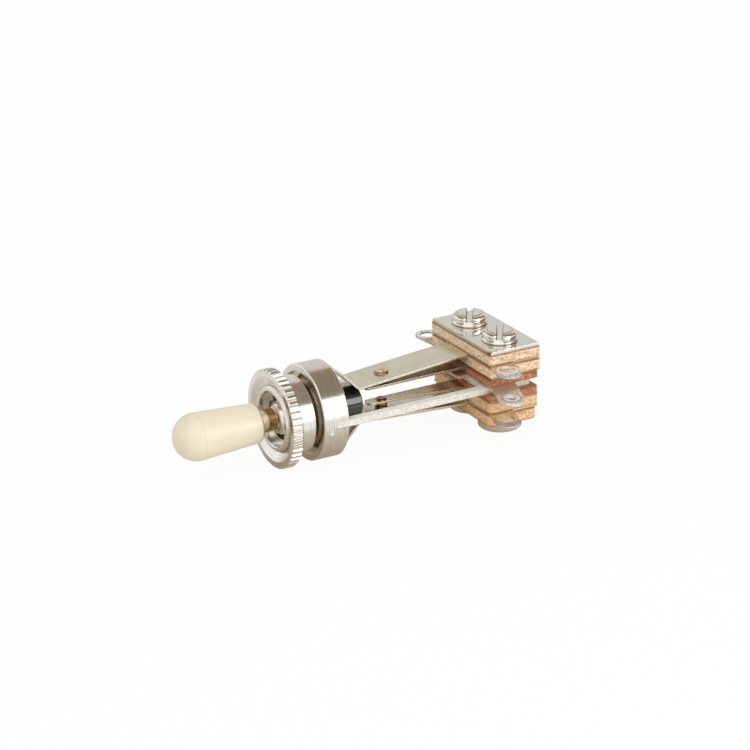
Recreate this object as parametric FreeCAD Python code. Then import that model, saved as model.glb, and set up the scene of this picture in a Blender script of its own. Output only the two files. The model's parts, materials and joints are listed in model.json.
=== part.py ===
import FreeCAD, Part
import math
import os

from FreeCAD import Vector

os.makedirs("parts", exist_ok=True)

# Three-way lever selector switch for a panel. Millimetres throughout.
# X runs along the switch: the lever and its cap point to -X, the leaf stack is at +X.
# Z is the direction of the clamp screws, Y goes across. The bushing axis is the X axis
# and the panel seat, the front rim of the disc, lies in the plane X = 0.

# Bushing: one turned piece, a threaded neck in front and a thick disc behind it.
disc_radius = 8.75
disc_thickness = 4.9
seat_ring_width = 1.25
seat_recess_depth = 0.6
neck_radius = 5.95
neck_length = 6.0
bore_radius = 3.95
bore_bevel = 0.45
cavity_radius = 5.0
cavity_depth = 3.2
cavity_cone = 1.2
edge_break = 0.2

# Dress nut on the neck.
nut_overhang = 0.18
nut_flange = 2.0
nut_front_x = -6.16
nut_front_ring = 1.24
nut_recess_depth = 0.9
nut_hub_wall = 1.09
nut_rear_x = -0.7
serrations = 48
serration_depth = 0.34
serration_crest = 0.5

# Lever: ball on a cross pin, straight shaft, moulded cap, black cam behind the ball.
pivot_x = -2.9
ball_radius = 3.45
shaft_radius = 2.07
waist_radius = 1.98
stud_radius = 1.5
stud_length = 6.6
pin_radius = 0.75
pin_length = 11.0
cap_base_x = -9.0
cap_base_radius = 3.58
cap_radius = 4.27
cap_round_x = -20.5
cam_radius = 2.87
cam_front_x = 2.0
cam_rear_x = 10.9
cam_edge = 0.35
lever_tilt = 12.0

# Frame plate: a U with its two arm ends let into the sides of the disc.
frame_thickness = 1.2
frame_rear_x = 42.4
arm_width = 1.55
arm_depth_in_disc = 2.6
arm_slot_play = 0.17
window_rear_x = 33.0
frame_corner = 1.0
window_corner = 1.6

# Stake marks pressed into the rim of the disc in front of the arm ends, to hold them.
stake_front_x = 0.9
stake_length = 0.95
stake_height = 2.4
stake_centre_z = -0.3
stake_depth = 0.18
stake_round = 0.4

# Leaf stack: plates and leaves clamped over the rear of the frame.
stack_front_x = 32.88
stack_length = 10.1
stack_half_width = 10.2
stack_centre_y = 0.08
stack_corner = 0.15
lower_corner = 0.8
bottom_corner = 1.6
root_inset = 0.12
board_overhang = 0.12
leaf_thickness = 0.4
upper_red_height = 1.2
upper_spacer_height = 2.0
end_spacer = 2.0
lower_red_height = 1.1
lower_spacer_height = 2.1
bottom_spacer = 2.05
clamp_plate_thickness = 0.6
screw_x = 37.8
screw_from_frame_side = 3.55
screw_radius = 1.45
sleeve_radius = 1.95
screw_head_radius = 3.3
screw_head_height = 2.0
screw_head_round = 0.55
screw_slot_width = 1.1
screw_slot_depth = 1.0
screw_slot_angle = 57.0
round_nut_radius = 4.0
round_nut_height = 2.3
round_nut_bevel = 0.35

# Leaves. Outer leaves are bent, inner leaves are flat and taper.
outer_leaf_near_y = -2.8
outer_leaf_far_y = 4.4
outer_bend_x = 31.0
tip_bend_x = 10.1
tip_x = 6.9
tip_rise = 3.3
bend_radius = 0.5
root_bend_radius = 3.0
leaf_over_cam = 0.06
upper_inner_near_y = -2.4
upper_inner_far_y = 3.6
upper_inner_tip_far_y = 1.6
upper_inner_tip_x = 11.8
lower_inner_far_y = 2.75
lower_inner_near_y = -1.3
lower_inner_tip_near_y = 0.5
lower_inner_taper_x = 15.6
lower_inner_tip_x = 13.8

# Contacts, riveted through the leaves in facing pairs.
upper_contact_x = 16.5
upper_contact_y = 0.65
lower_contact_x = 16.9
lower_contact_y = 1.6
contact_radius = 1.25
lower_contact_radius = 1.15
contact_crown = 4.0
rivet_shank = 0.6
rivet_head_radius = 1.35
rivet_head_height = 0.42
tail_head_height = 0.3
upper_inner_contact_height = 0.43
lower_inner_contact_height = 0.62

# Solder lugs.
lug_hole_radius = 1.4
lug_end_radius = 2.35
lug_end_beyond_eye = 1.15
lug_end_ahead_of_eye = 0.5
far_lug_end_radius = 2.2
near_lug_x = 34.65
near_lug_y = -12.85
low_lug_x = 34.4
low_lug_y = -13.0
far_lug_x = 34.6
far_lug_y = 15.2
lug_root_front_x = 33.2
lug_root_rear_x = 37.9
ground_thickness = 0.55
ground_side_inset = 1.0
ground_rear_inset = 0.02
ground_root_front_x = 32.9
ground_lug_x = 34.15
ground_lug_y = -15.0
ground_hole_radius = 0.9
ground_end_radius = 2.4
ground_droop = 6.0
tongue_reach = 2.3
tongue_near_y = -2.6
tongue_far_y = 1.5

# Clearances: every fit below comes from its part's own size plus one of these.
running_clearance = 0.03
thread_clearance = 0.03
sleeve_clearance = 0.05
rivet_clearance = 0.02
contact_gap = 0.03

# Widths that follow the disc, the neck and the stack.
nut_radius = disc_radius + nut_overhang
nut_hub_radius = neck_radius + thread_clearance + nut_hub_wall
screw_y = disc_radius - screw_from_frame_side
ground_half_width = stack_half_width - ground_side_inset

# Heights of the stack, worked outward from the frame plate.
frame_top = frame_thickness / 2.0
ground_top = frame_top + ground_thickness
upper_inner_bottom = ground_top + upper_red_height
upper_inner_top = upper_inner_bottom + leaf_thickness
upper_outer_bottom = upper_inner_top + upper_spacer_height
upper_outer_top = upper_outer_bottom + leaf_thickness
clamp_plate_bottom = upper_outer_top + end_spacer
clamp_plate_top = clamp_plate_bottom + clamp_plate_thickness
lower_inner_top = -frame_top - lower_red_height
lower_inner_bottom = lower_inner_top - leaf_thickness
lower_outer_top = lower_inner_bottom - lower_spacer_height
lower_outer_bottom = lower_outer_top - leaf_thickness
stack_bottom = lower_outer_bottom - bottom_spacer
round_nut_bottom = stack_bottom - round_nut_height
stack_rear_x = stack_front_x + stack_length
arm_front_x = disc_thickness - arm_depth_in_disc
sleeve_hole = sleeve_radius + sleeve_clearance
sleeve_bore = screw_radius + sleeve_clearance


def in_plan(z):
    """Place an (a, b) pair as a point (x, y) at height z."""
    return lambda a, b: Vector(a, b, z)


def in_side(y):
    """Place an (a, b) pair as a point (x, z) at the cross position y."""
    return lambda a, b: Vector(a, y, b)


def walk(start, moves, place):
    """Closed face: a move is an end point, or an end point with a point its arc goes through."""
    edges = []
    here = place(*start)
    for move in moves + [start]:
        end = place(*move[:2])
        if (end - here).Length < 1e-7:
            continue
        if len(move) == 4:
            edges.append(Part.Arc(here, place(*move[2:]), end).toShape())
        else:
            edges.append(Part.makeLine(here, end))
        here = end
    return Part.Face(Part.Wire(edges))


def turned(start, *moves):
    """Solid turned about the switch axis from (x, radius) points."""
    face = walk(start, list(moves), in_side(0.0))
    return face.revolve(Vector(0, 0, 0), Vector(1, 0, 0), 360)


def turned_upright(start, *moves):
    """Solid turned about the Z axis from (radius, z) points."""
    face = walk(start, list(moves), in_side(0.0))
    return face.revolve(Vector(0, 0, 0), Vector(0, 0, 1), 360)


def rounded_face(corners, place):
    """Closed face through (a, b, radius) corners, each rounded by its own radius."""
    begins = []
    middles = []
    ends = []
    count = len(corners)
    for i in range(count):
        here = Vector(corners[i][0], corners[i][1], 0)
        before = Vector(corners[i - 1][0], corners[i - 1][1], 0)
        after = Vector(corners[(i + 1) % count][0], corners[(i + 1) % count][1], 0)
        back = (before - here).normalize()
        ahead = (after - here).normalize()
        radius = corners[i][2]
        half = back.getAngle(ahead) / 2.0
        reach = radius / math.tan(half)
        inward = radius / math.sin(half) - radius
        begins.append(here + back * reach)
        ends.append(here + ahead * reach)
        if radius > 0:
            middles.append(here + (back + ahead).normalize() * inward)
        else:
            middles.append(here)
    edges = []
    for i in range(count):
        if corners[i][2] > 0:
            points = [place(p.x, p.y) for p in (begins[i], middles[i], ends[i])]
            edges.append(Part.Arc(*points).toShape())
        following = begins[(i + 1) % count]
        if (ends[i] - following).Length > 1e-6:
            edges.append(Part.makeLine(place(ends[i].x, ends[i].y), place(following.x, following.y)))
    return Part.Face(Part.Wire(edges))


def plate(corners, bottom, top):
    """Flat plate with rounded corners between two heights."""
    face = rounded_face(corners, in_plan(bottom))
    return face.extrude(Vector(0, 0, top - bottom))


def footprint(inset, shift_x=0.0, shift_y=0.0, corner=stack_corner):
    """Corners of the stack's rectangle, drawn in by an inset and shifted a little."""
    x0 = stack_front_x + inset + shift_x
    x1 = stack_rear_x - inset + shift_x
    y0 = stack_centre_y - stack_half_width + inset + shift_y
    y1 = stack_centre_y + stack_half_width - inset + shift_y
    return [(x0, y0, corner), (x1, y0, corner), (x1, y1, corner), (x0, y1, corner)]


def upright_hole(x, y, radius, bottom, top):
    """Cutting cylinder along Z, a little longer than the stock it goes through."""
    return Part.makeCylinder(radius, top - bottom + 2.0, Vector(x, y, bottom - 1.0))


def with_screw_holes(shape, radius, bottom, top):
    """The shape with the two clamp screw holes cut through it."""
    for side in (-1, 1):
        shape = shape.cut(upright_hole(screw_x, side * screw_y, radius, bottom, top))
    return shape


def strip_corners(path, thickness):
    """Outline of a bent strip from (x, z, bend) points along its lower face, root to tip."""
    lower = []
    upper = []
    last = len(path) - 1
    for i, (x, z, bend) in enumerate(path):
        runs = []
        for a, b in ((i - 1, i), (i, i + 1)):
            if a >= 0 and b <= last:
                run = Vector(path[b][0] - path[a][0], 0, path[b][1] - path[a][1])
                runs.append(run.normalize())
        first = Vector(runs[0].z, 0, -runs[0].x)
        second = Vector(runs[-1].z, 0, -runs[-1].x)
        offset = (first + second) * (thickness / (1.0 + first.dot(second)))
        turn = runs[0].x * runs[-1].z - runs[0].z * runs[-1].x
        outside = bend + thickness if bend > 0 else 0.0
        lower.append((x, z, outside if turn < 0 else bend))
        upper.append((x + offset.x, z + offset.z, bend if turn < 0 else outside))
    return lower + upper[::-1]


def lug_blank(x, end_y, front_x, root_y, end_radius, bottom, thickness):
    """Lug without its eye: sides that taper from the root to a round end centred at end_y."""
    side = 1.0 if end_y > 0 else -1.0
    tip = (x - end_radius, end_y, x, end_y + side * end_radius)
    outline = [(x + end_radius, end_y), tip, (front_x, root_y)]
    face = walk((lug_root_rear_x, root_y), outline, in_plan(bottom))
    return face.extrude(Vector(0, 0, thickness))


def near_lug(x, y, root_y, bottom):
    """Outer leaf's lug with an eye at (x, y); it leans ahead, its end centred beyond the eye."""
    end_x = x - lug_end_ahead_of_eye
    end_y = y - lug_end_beyond_eye
    outline = (end_x, end_y, lug_root_front_x, root_y, lug_end_radius)
    blank = lug_blank(*outline, bottom, leaf_thickness)
    return blank.cut(upright_hole(x, y, lug_hole_radius, bottom, bottom + leaf_thickness))


def far_lug(x, y, root_y, bottom):
    """Inner leaf's lug, its round end centred on the eye at (x, y)."""
    outline = (x, y, lug_root_front_x, root_y, far_lug_end_radius)
    blank = lug_blank(*outline, bottom, leaf_thickness)
    return blank.cut(upright_hole(x, y, lug_hole_radius, bottom, bottom + leaf_thickness))


def bushing_body():
    """Threaded neck and disc in one piece, bored through, with a wide cavity for the cam."""
    front = -neck_length
    recess_radius = disc_radius - seat_ring_width
    chamfer = 0.35
    body = turned(
        (front + bore_bevel, bore_radius),
        (front, bore_radius + bore_bevel),
        (front, neck_radius - chamfer),
        (front + chamfer, neck_radius),
        (seat_recess_depth, neck_radius),
        (seat_recess_depth, recess_radius),
        (0.0, recess_radius),
        (0.0, disc_radius - edge_break),
        (edge_break, disc_radius),
        (disc_thickness - edge_break, disc_radius),
        (disc_thickness, disc_radius - edge_break),
        (disc_thickness, cavity_radius),
        (disc_thickness - cavity_depth, cavity_radius),
        (disc_thickness - cavity_depth - cavity_cone, bore_radius),
    )
    pin_hole = Part.makeCylinder(
        pin_radius + running_clearance,
        2.0 * neck_radius + 2.0,
        Vector(pivot_x, -neck_radius - 1.0, 0),
        Vector(0, 1, 0),
    )
    body = body.cut(pin_hole)
    for side in (-1, 1):
        inner = disc_radius - arm_width
        base_y = inner if side > 0 else -disc_radius - 1.0
        slot = Part.makeBox(
            arm_depth_in_disc + 1.0,
            arm_width + 1.0,
            frame_thickness + arm_slot_play,
            Vector(arm_front_x, base_y, -frame_top - arm_slot_play),
        )
        body = body.cut(slot).cut(stake_punch(side))
    return body


def stake_punch(side):
    """Cutting block with round corners that presses one stake mark into the disc's rim."""
    low = stake_centre_z - stake_height / 2.0
    outline = [
        (stake_front_x, low, stake_round),
        (stake_front_x + stake_length, low, stake_round),
        (stake_front_x + stake_length, low + stake_height, stake_round),
        (stake_front_x, low + stake_height, stake_round),
    ]
    face = rounded_face(outline, in_side(side * (disc_radius - stake_depth)))
    return face.extrude(Vector(0, side * (stake_depth + 1.0), 0))


def dress_nut():
    """Flanged nut: axial serrations round the flange, a conical recess in its front."""
    rear = nut_front_x + nut_flange
    bore = neck_radius + thread_clearance
    ring = nut_radius - nut_front_ring
    flange = turned(
        (nut_front_x, bore),
        (nut_front_x, nut_radius - edge_break),
        (nut_front_x + edge_break, nut_radius),
        (rear - edge_break, nut_radius),
        (rear, nut_radius - edge_break),
        (rear, bore),
    )
    step = 2.0 * math.pi / serrations
    reach = nut_radius / math.cos(step * serration_crest / 2.0) + 0.001
    points = []
    for i in range(serrations):
        middle = i * step
        for turn, radius in ((-0.5 * serration_crest, reach), (0.5 * serration_crest, reach)):
            angle = middle + turn * step
            points.append(Vector(nut_front_x, radius * math.cos(angle), radius * math.sin(angle)))
        angle = middle + 0.5 * step
        valley = nut_radius - serration_depth
        points.append(Vector(nut_front_x, valley * math.cos(angle), valley * math.sin(angle)))
    star = Part.Face(Part.makePolygon(points + [points[0]])).extrude(Vector(nut_flange, 0, 0))
    flange = flange.common(star)
    hub = turned(
        (rear - 0.5, bore),
        (rear - 0.5, nut_hub_radius),
        (nut_rear_x - edge_break, nut_hub_radius),
        (nut_rear_x, nut_hub_radius - edge_break),
        (nut_rear_x, bore),
    )
    cone = turned(
        (nut_front_x - 0.2, 0.0),
        (nut_front_x - 0.2, ring + 0.2 * (ring - bore) / nut_recess_depth),
        (nut_front_x + nut_recess_depth, bore),
        (nut_front_x + nut_recess_depth, 0.0),
    )
    return flange.fuse(hub).cut(cone).removeSplitter()


def pivot_pin():
    """Cross pin that the lever's ball swings on, its ends inside the neck wall."""
    half = pin_length / 2.0
    bevel = 0.15
    pin = turned(
        (-half, 0.0),
        (-half, pin_radius - bevel),
        (-half + bevel, pin_radius),
        (half - bevel, pin_radius),
        (half, pin_radius - bevel),
        (half, 0.0),
    )
    pin.rotate(Vector(0, 0, 0), Vector(0, 0, 1), 90)
    pin.translate(Vector(pivot_x, 0, 0))
    return pin


def lever_shaft():
    """Stud, shaft, ball and tail turned from one bar, cross-drilled for the pivot pin."""
    stud_x = cap_base_x - stud_length
    front_reach = math.sqrt(ball_radius ** 2 - waist_radius ** 2)
    rear_reach = math.sqrt(ball_radius ** 2 - stud_radius ** 2)
    tail_x = cam_rear_x - 1.2
    shaft = turned(
        (stud_x, 0.0),
        (stud_x, stud_radius - 0.3),
        (stud_x + 0.3, stud_radius),
        (cap_base_x + 0.02, stud_radius),
        (cap_base_x + 0.02, shaft_radius),
        (cap_base_x + 1.6, shaft_radius),
        (pivot_x - front_reach, waist_radius),
        (pivot_x + rear_reach, stud_radius, pivot_x, ball_radius),
        (tail_x - 0.2, stud_radius),
        (tail_x, stud_radius - 0.2),
        (tail_x, 0.0),
    )
    hole = Part.makeCylinder(
        pin_radius + running_clearance,
        2.0 * ball_radius + 2.0,
        Vector(pivot_x, -ball_radius - 1.0, 0),
        Vector(0, 1, 0),
    )
    return shaft.cut(hole)


def lever_cap():
    """Moulded cap: a slim cone that widens to a round end, bored for the stud."""
    slant = math.radians(45)
    bore = stud_radius + rivet_clearance
    depth = cap_base_x - stud_length - 0.3
    lip = 0.3
    return turned(
        (cap_base_x, bore),
        (cap_base_x, cap_base_radius - lip),
        (
            cap_base_x - lip,
            cap_base_radius,
            cap_base_x - lip * (1.0 - math.cos(slant)),
            cap_base_radius - lip * (1.0 - math.sin(slant)),
        ),
        (cap_round_x, cap_radius),
        (
            cap_round_x - cap_radius,
            0.0,
            cap_round_x - cap_radius * math.sin(slant),
            cap_radius * math.cos(slant),
        ),
        (depth - 0.6, 0.0),
        (depth, bore),
    )


def lever_cam():
    """Black cam pressed on the lever's tail. It lifts one outer leaf at a time."""
    bore = stud_radius + rivet_clearance
    tail_x = cam_rear_x - 1.1
    slant = cam_edge * (1.0 - math.cos(math.radians(45)))
    return turned(
        (cam_front_x, bore),
        (cam_front_x, cam_radius - 0.2),
        (cam_front_x + 0.2, cam_radius),
        (cam_rear_x - cam_edge, cam_radius),
        (cam_rear_x, cam_radius - cam_edge, cam_rear_x - slant, cam_radius - slant),
        (cam_rear_x, 0.0),
        (tail_x, 0.0),
        (tail_x, bore),
    )


def frame_plate():
    """Flat U plate: two arms to the disc, a solid rear that the stack is clamped on."""
    outer = disc_radius
    inner = disc_radius - arm_width
    blank = plate(
        [
            (arm_front_x, -outer, 0.0),
            (frame_rear_x, -outer, frame_corner),
            (frame_rear_x, outer, frame_corner),
            (arm_front_x, outer, 0.0),
            (arm_front_x, inner, 0.0),
            (window_rear_x, inner, window_corner),
            (window_rear_x, -inner, window_corner),
            (arm_front_x, -inner, 0.0),
        ],
        -frame_top,
        frame_top,
    )
    return with_screw_holes(blank, sleeve_hole, -frame_top, frame_top)


def outer_leaf_underside():
    """Height of the outer leaf's lower face at its tip bend, just clear of the cam."""
    return cam_radius + leaf_over_cam


def outer_leaf_slope(seat):
    """Fall of an outer leaf per millimetre between its two bends, its root seated at a height."""
    drop = seat - outer_leaf_underside()
    return drop / (outer_bend_x - tip_bend_x)


def outer_leaf(seat, lug_x, lug_y):
    """Outer leaf as an upper one: root plate with its lug, a long strip and a flared tip."""
    top = seat + leaf_thickness
    tip_z = outer_leaf_underside()
    path = [
        (stack_front_x + 2.0, seat, 0.0),
        (outer_bend_x, seat, root_bend_radius),
        (tip_bend_x, tip_z, bend_radius),
        (tip_x, tip_z + tip_rise, 0.0),
    ]
    side = rounded_face(strip_corners(path, leaf_thickness), in_side(outer_leaf_near_y))
    strip = side.extrude(Vector(0, outer_leaf_far_y - outer_leaf_near_y, 0))
    plan = plate(
        [
            (tip_x - 0.5, outer_leaf_near_y, 0.9),
            (stack_front_x + 3.0, outer_leaf_near_y, 0.0),
            (stack_front_x + 3.0, outer_leaf_far_y, 0.0),
            (tip_x - 0.5, outer_leaf_far_y, 0.9),
        ],
        0.0,
        top + tip_rise + tip_z,
    )
    root = plate(footprint(root_inset), seat, top)
    root_y = stack_centre_y - stack_half_width + root_inset + 1.0
    strap = near_lug(lug_x, lug_y, root_y, seat)
    leaf = strip.common(plan).fuse([root, strap])
    return with_screw_holes(leaf.removeSplitter(), sleeve_hole, seat, top)


def outer_leaf_with_rivet_hole(seat, lug_x, lug_y, contact_x, contact_y):
    """Outer leaf with the sloping hole its contact is riveted through."""
    middle = outer_leaf_middle(contact_x, seat)
    reach = 4.0 * leaf_thickness
    drill = Part.makeCylinder(rivet_shank + rivet_clearance, 2.0 * reach, Vector(0, 0, -reach))
    drill.rotate(Vector(0, 0, 0), Vector(0, 1, 0), outer_leaf_tilt(seat))
    drill.translate(Vector(contact_x, contact_y, middle))
    return outer_leaf(seat, lug_x, lug_y).cut(drill)


def outer_leaf_tilt(seat):
    """Angle about Y that turns an upright rivet square to the sloping leaf."""
    return -math.degrees(math.atan(outer_leaf_slope(seat)))


def outer_leaf_middle(x, seat):
    """Height of an outer leaf's middle surface at x, between its bends."""
    slope = outer_leaf_slope(seat)
    low = outer_leaf_underside() + (x - tip_bend_x) * slope
    return low + leaf_thickness / 2.0 / math.cos(math.atan(slope))


def inner_leaf(corners, bottom):
    """Flat inner leaf from its plan outline, with the root plate and the far lug."""
    top = bottom + leaf_thickness
    blade = plate(corners, bottom, top)
    root = plate(footprint(root_inset), bottom, top)
    root_y = stack_centre_y + stack_half_width - root_inset - 1.0
    leaf = blade.fuse([root, far_lug(far_lug_x, far_lug_y, root_y, bottom)]).removeSplitter()
    return with_screw_holes(leaf, sleeve_hole, bottom, top)


def upper_inner_leaf():
    """Upper inner leaf: straight near edge, far edge drawn in toward the tip."""
    rear = stack_front_x + 2.0
    corners = [
        (upper_inner_tip_x, upper_inner_near_y, 0.5),
        (rear, upper_inner_near_y, 0.0),
        (rear, upper_inner_far_y, 0.0),
        (stack_front_x, upper_inner_far_y, 0.0),
        (upper_inner_tip_x, upper_inner_tip_far_y, 0.8),
    ]
    leaf = inner_leaf(corners, upper_inner_bottom)
    hole = upright_hole(
        upper_contact_x,
        upper_contact_y,
        rivet_shank + rivet_clearance,
        upper_inner_bottom,
        upper_inner_top,
    )
    return leaf.cut(hole)


def lower_inner_leaf():
    """Lower inner leaf: straight far edge, near edge drawn in to a small round end."""
    rear = stack_front_x + 2.0
    corners = [
        (lower_inner_tip_x, lower_inner_tip_near_y, 0.8),
        (lower_inner_taper_x, lower_inner_tip_near_y, 0.0),
        (stack_front_x, lower_inner_near_y, 0.0),
        (rear, lower_inner_near_y, 0.0),
        (rear, lower_inner_far_y, 0.0),
        (lower_inner_tip_x, lower_inner_far_y, 0.8),
    ]
    leaf = inner_leaf(corners, lower_inner_bottom)
    hole = upright_hole(
        lower_contact_x,
        lower_contact_y,
        rivet_shank + rivet_clearance,
        lower_inner_bottom,
        lower_inner_top,
    )
    return leaf.cut(hole)


def ground_lug():
    """Thin ground plate under the upper stack, with a short tongue and a drooping lug."""
    front = stack_front_x + root_inset
    rear = stack_rear_x - ground_rear_inset
    root = plate(
        [
            (front, -ground_half_width, stack_corner),
            (rear, -ground_half_width, stack_corner),
            (rear, ground_half_width, stack_corner),
            (front, ground_half_width, stack_corner),
        ],
        frame_top,
        ground_top,
    )
    tongue_front = stack_front_x - tongue_reach
    tongue = plate(
        [
            (tongue_front, tongue_near_y, 0.4),
            (front + 2.0, tongue_near_y, 0.0),
            (front + 2.0, tongue_far_y, 0.0),
            (tongue_front, tongue_far_y, 0.4),
        ],
        frame_top,
        ground_top,
    )
    hinge_y = stack_centre_y - stack_half_width
    reach = (ground_lug_y - hinge_y) / math.cos(math.radians(ground_droop))
    strap = lug_blank(
        ground_lug_x,
        hinge_y + reach,
        ground_root_front_x,
        hinge_y,
        ground_end_radius,
        frame_top,
        ground_thickness,
    )
    eye = upright_hole(ground_lug_x, hinge_y + reach, ground_hole_radius, frame_top, ground_top)
    strap = strap.cut(eye)
    strap.rotate(Vector(0, hinge_y, ground_top), Vector(1, 0, 0), ground_droop)
    heel_front = max(front, ground_root_front_x)
    heel_overlap = 0.5
    heel = Part.makeBox(
        lug_root_rear_x - heel_front,
        ground_side_inset + heel_overlap,
        ground_thickness,
        Vector(heel_front, hinge_y, frame_top),
    )
    lug_plate = root.fuse([tongue, heel, strap]).removeSplitter()
    return with_screw_holes(lug_plate, sleeve_hole, frame_top, ground_top)


def insulator(bottom, top, shift_x, shift_y, corner=stack_corner, overhang=0.0):
    """One insulating plate of the stack, a little out of line with its neighbours."""
    blank = plate(footprint(-overhang, shift_x, shift_y, corner), bottom, top)
    return with_screw_holes(blank, sleeve_hole, bottom, top)


def clamp_plate():
    """Bright steel plate on top of the stack, under the screw heads."""
    blank = plate(footprint(0.0), clamp_plate_bottom, clamp_plate_top)
    return with_screw_holes(blank, sleeve_bore, clamp_plate_bottom, clamp_plate_top)


def clamp_screw(y):
    """Slotted cheese-head screw through the whole stack."""
    top = clamp_plate_top + screw_head_height
    tip = round_nut_bottom + 0.15
    slant = screw_head_round * (1.0 - math.cos(math.radians(45)))
    screw = turned_upright(
        (0.0, tip),
        (screw_radius - 0.25, tip),
        (screw_radius, tip + 0.25),
        (screw_radius, clamp_plate_top),
        (screw_head_radius, clamp_plate_top),
        (screw_head_radius, top - screw_head_round),
        (screw_head_radius - screw_head_round, top, screw_head_radius - slant, top - slant),
        (0.0, top),
    )
    slot = Part.makeBox(
        2.0 * screw_head_radius + 1.0,
        screw_slot_width,
        screw_slot_depth + 1.0,
        Vector(-screw_head_radius - 0.5, -screw_slot_width / 2.0, top - screw_slot_depth),
    )
    slot.rotate(Vector(0, 0, 0), Vector(0, 0, 1), screw_slot_angle)
    screw = screw.cut(slot)
    screw.translate(Vector(screw_x, y, 0))
    return screw


def screw_sleeve(y):
    """Insulating sleeve that keeps the screw clear of the leaves."""
    height = clamp_plate_bottom - stack_bottom
    tube = Part.makeCylinder(sleeve_radius, height, Vector(screw_x, y, stack_bottom))
    return tube.cut(upright_hole(screw_x, y, sleeve_bore, stack_bottom, clamp_plate_bottom))


def round_nut(y):
    """Round nut under the stack, edges bevelled on both faces."""
    bore = screw_radius + thread_clearance
    nut = turned_upright(
        (bore, round_nut_bottom),
        (round_nut_radius - round_nut_bevel, round_nut_bottom),
        (round_nut_radius, round_nut_bottom + round_nut_bevel),
        (round_nut_radius, stack_bottom - 0.15),
        (round_nut_radius - 0.15, stack_bottom),
        (bore, stack_bottom),
    )
    nut.translate(Vector(screw_x, y, 0))
    return nut


def outer_contact(seat, x, y, radius, facing_z):
    """Contact rivet of an upper outer leaf: round head above, crowned contact below."""
    half = leaf_thickness / 2.0
    tilt = math.radians(outer_leaf_tilt(seat))
    middle = outer_leaf_middle(x, seat)
    crown_centre = (facing_z + contact_gap + contact_crown - middle) / math.cos(tilt)
    low = crown_centre - contact_crown
    edge = crown_centre - math.sqrt(contact_crown ** 2 - radius ** 2)
    between = crown_centre - math.sqrt(contact_crown ** 2 - (radius / 2.0) ** 2)
    head_top = half + rivet_head_height
    rivet = turned_upright(
        (0.0, low),
        (radius, edge, radius / 2.0, between),
        (radius, -half),
        (rivet_shank, -half),
        (rivet_shank, half),
        (rivet_head_radius, half),
        (rivet_head_radius, half + 0.12),
        (rivet_head_radius * 0.45, head_top, rivet_head_radius * 0.85, head_top - 0.1),
        (0.0, head_top),
    )
    rivet.rotate(Vector(0, 0, 0), Vector(0, 1, 0), math.degrees(tilt))
    rivet.translate(Vector(x, y, middle))
    return rivet


def inner_contact(x, y, radius, height):
    """Contact rivet of an inner leaf whose faces lie at 0 and one leaf thickness above."""
    top = leaf_thickness + height
    tail = tail_head_height
    rivet = turned_upright(
        (0.0, -tail),
        (radius * 0.5, -tail),
        (radius * 0.9, -0.1, radius * 0.78, -tail + 0.07),
        (radius * 0.9, 0.0),
        (rivet_shank, 0.0),
        (rivet_shank, leaf_thickness),
        (radius, leaf_thickness),
        (radius, top - 0.1),
        (radius - 0.1, top),
        (0.0, top),
    )
    rivet.translate(Vector(x, y, 0))
    return rivet


def below(shape):
    """The shape turned over to the underside of the frame."""
    return shape.mirror(Vector(0, 0, 0), Vector(0, 0, 1))


def upper_pair():
    """The upper outer and inner contact, facing each other over a small gap."""
    inner = inner_contact(
        upper_contact_x,
        upper_contact_y,
        contact_radius,
        upper_inner_contact_height,
    )
    inner.translate(Vector(0, 0, upper_inner_bottom))
    facing = upper_inner_top + upper_inner_contact_height
    seat = upper_outer_bottom
    outer = outer_contact(seat, upper_contact_x, upper_contact_y, contact_radius, facing)
    return outer, inner


def lower_pair():
    """The lower outer and inner contact, built as an upper pair and turned over."""
    inner = inner_contact(
        lower_contact_x,
        lower_contact_y,
        lower_contact_radius,
        lower_inner_contact_height,
    )
    inner.translate(Vector(0, 0, -lower_inner_top))
    facing = -lower_inner_bottom + lower_inner_contact_height
    seat = -lower_outer_top
    outer = outer_contact(seat, lower_contact_x, lower_contact_y, lower_contact_radius, facing)
    return below(outer), below(inner)


def group(shapes):
    """Several separate solids kept as one node."""
    return Part.makeCompound(shapes)


upper_outer_contact, upper_inner_contact = upper_pair()
lower_outer_contact, lower_inner_contact = lower_pair()

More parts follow.
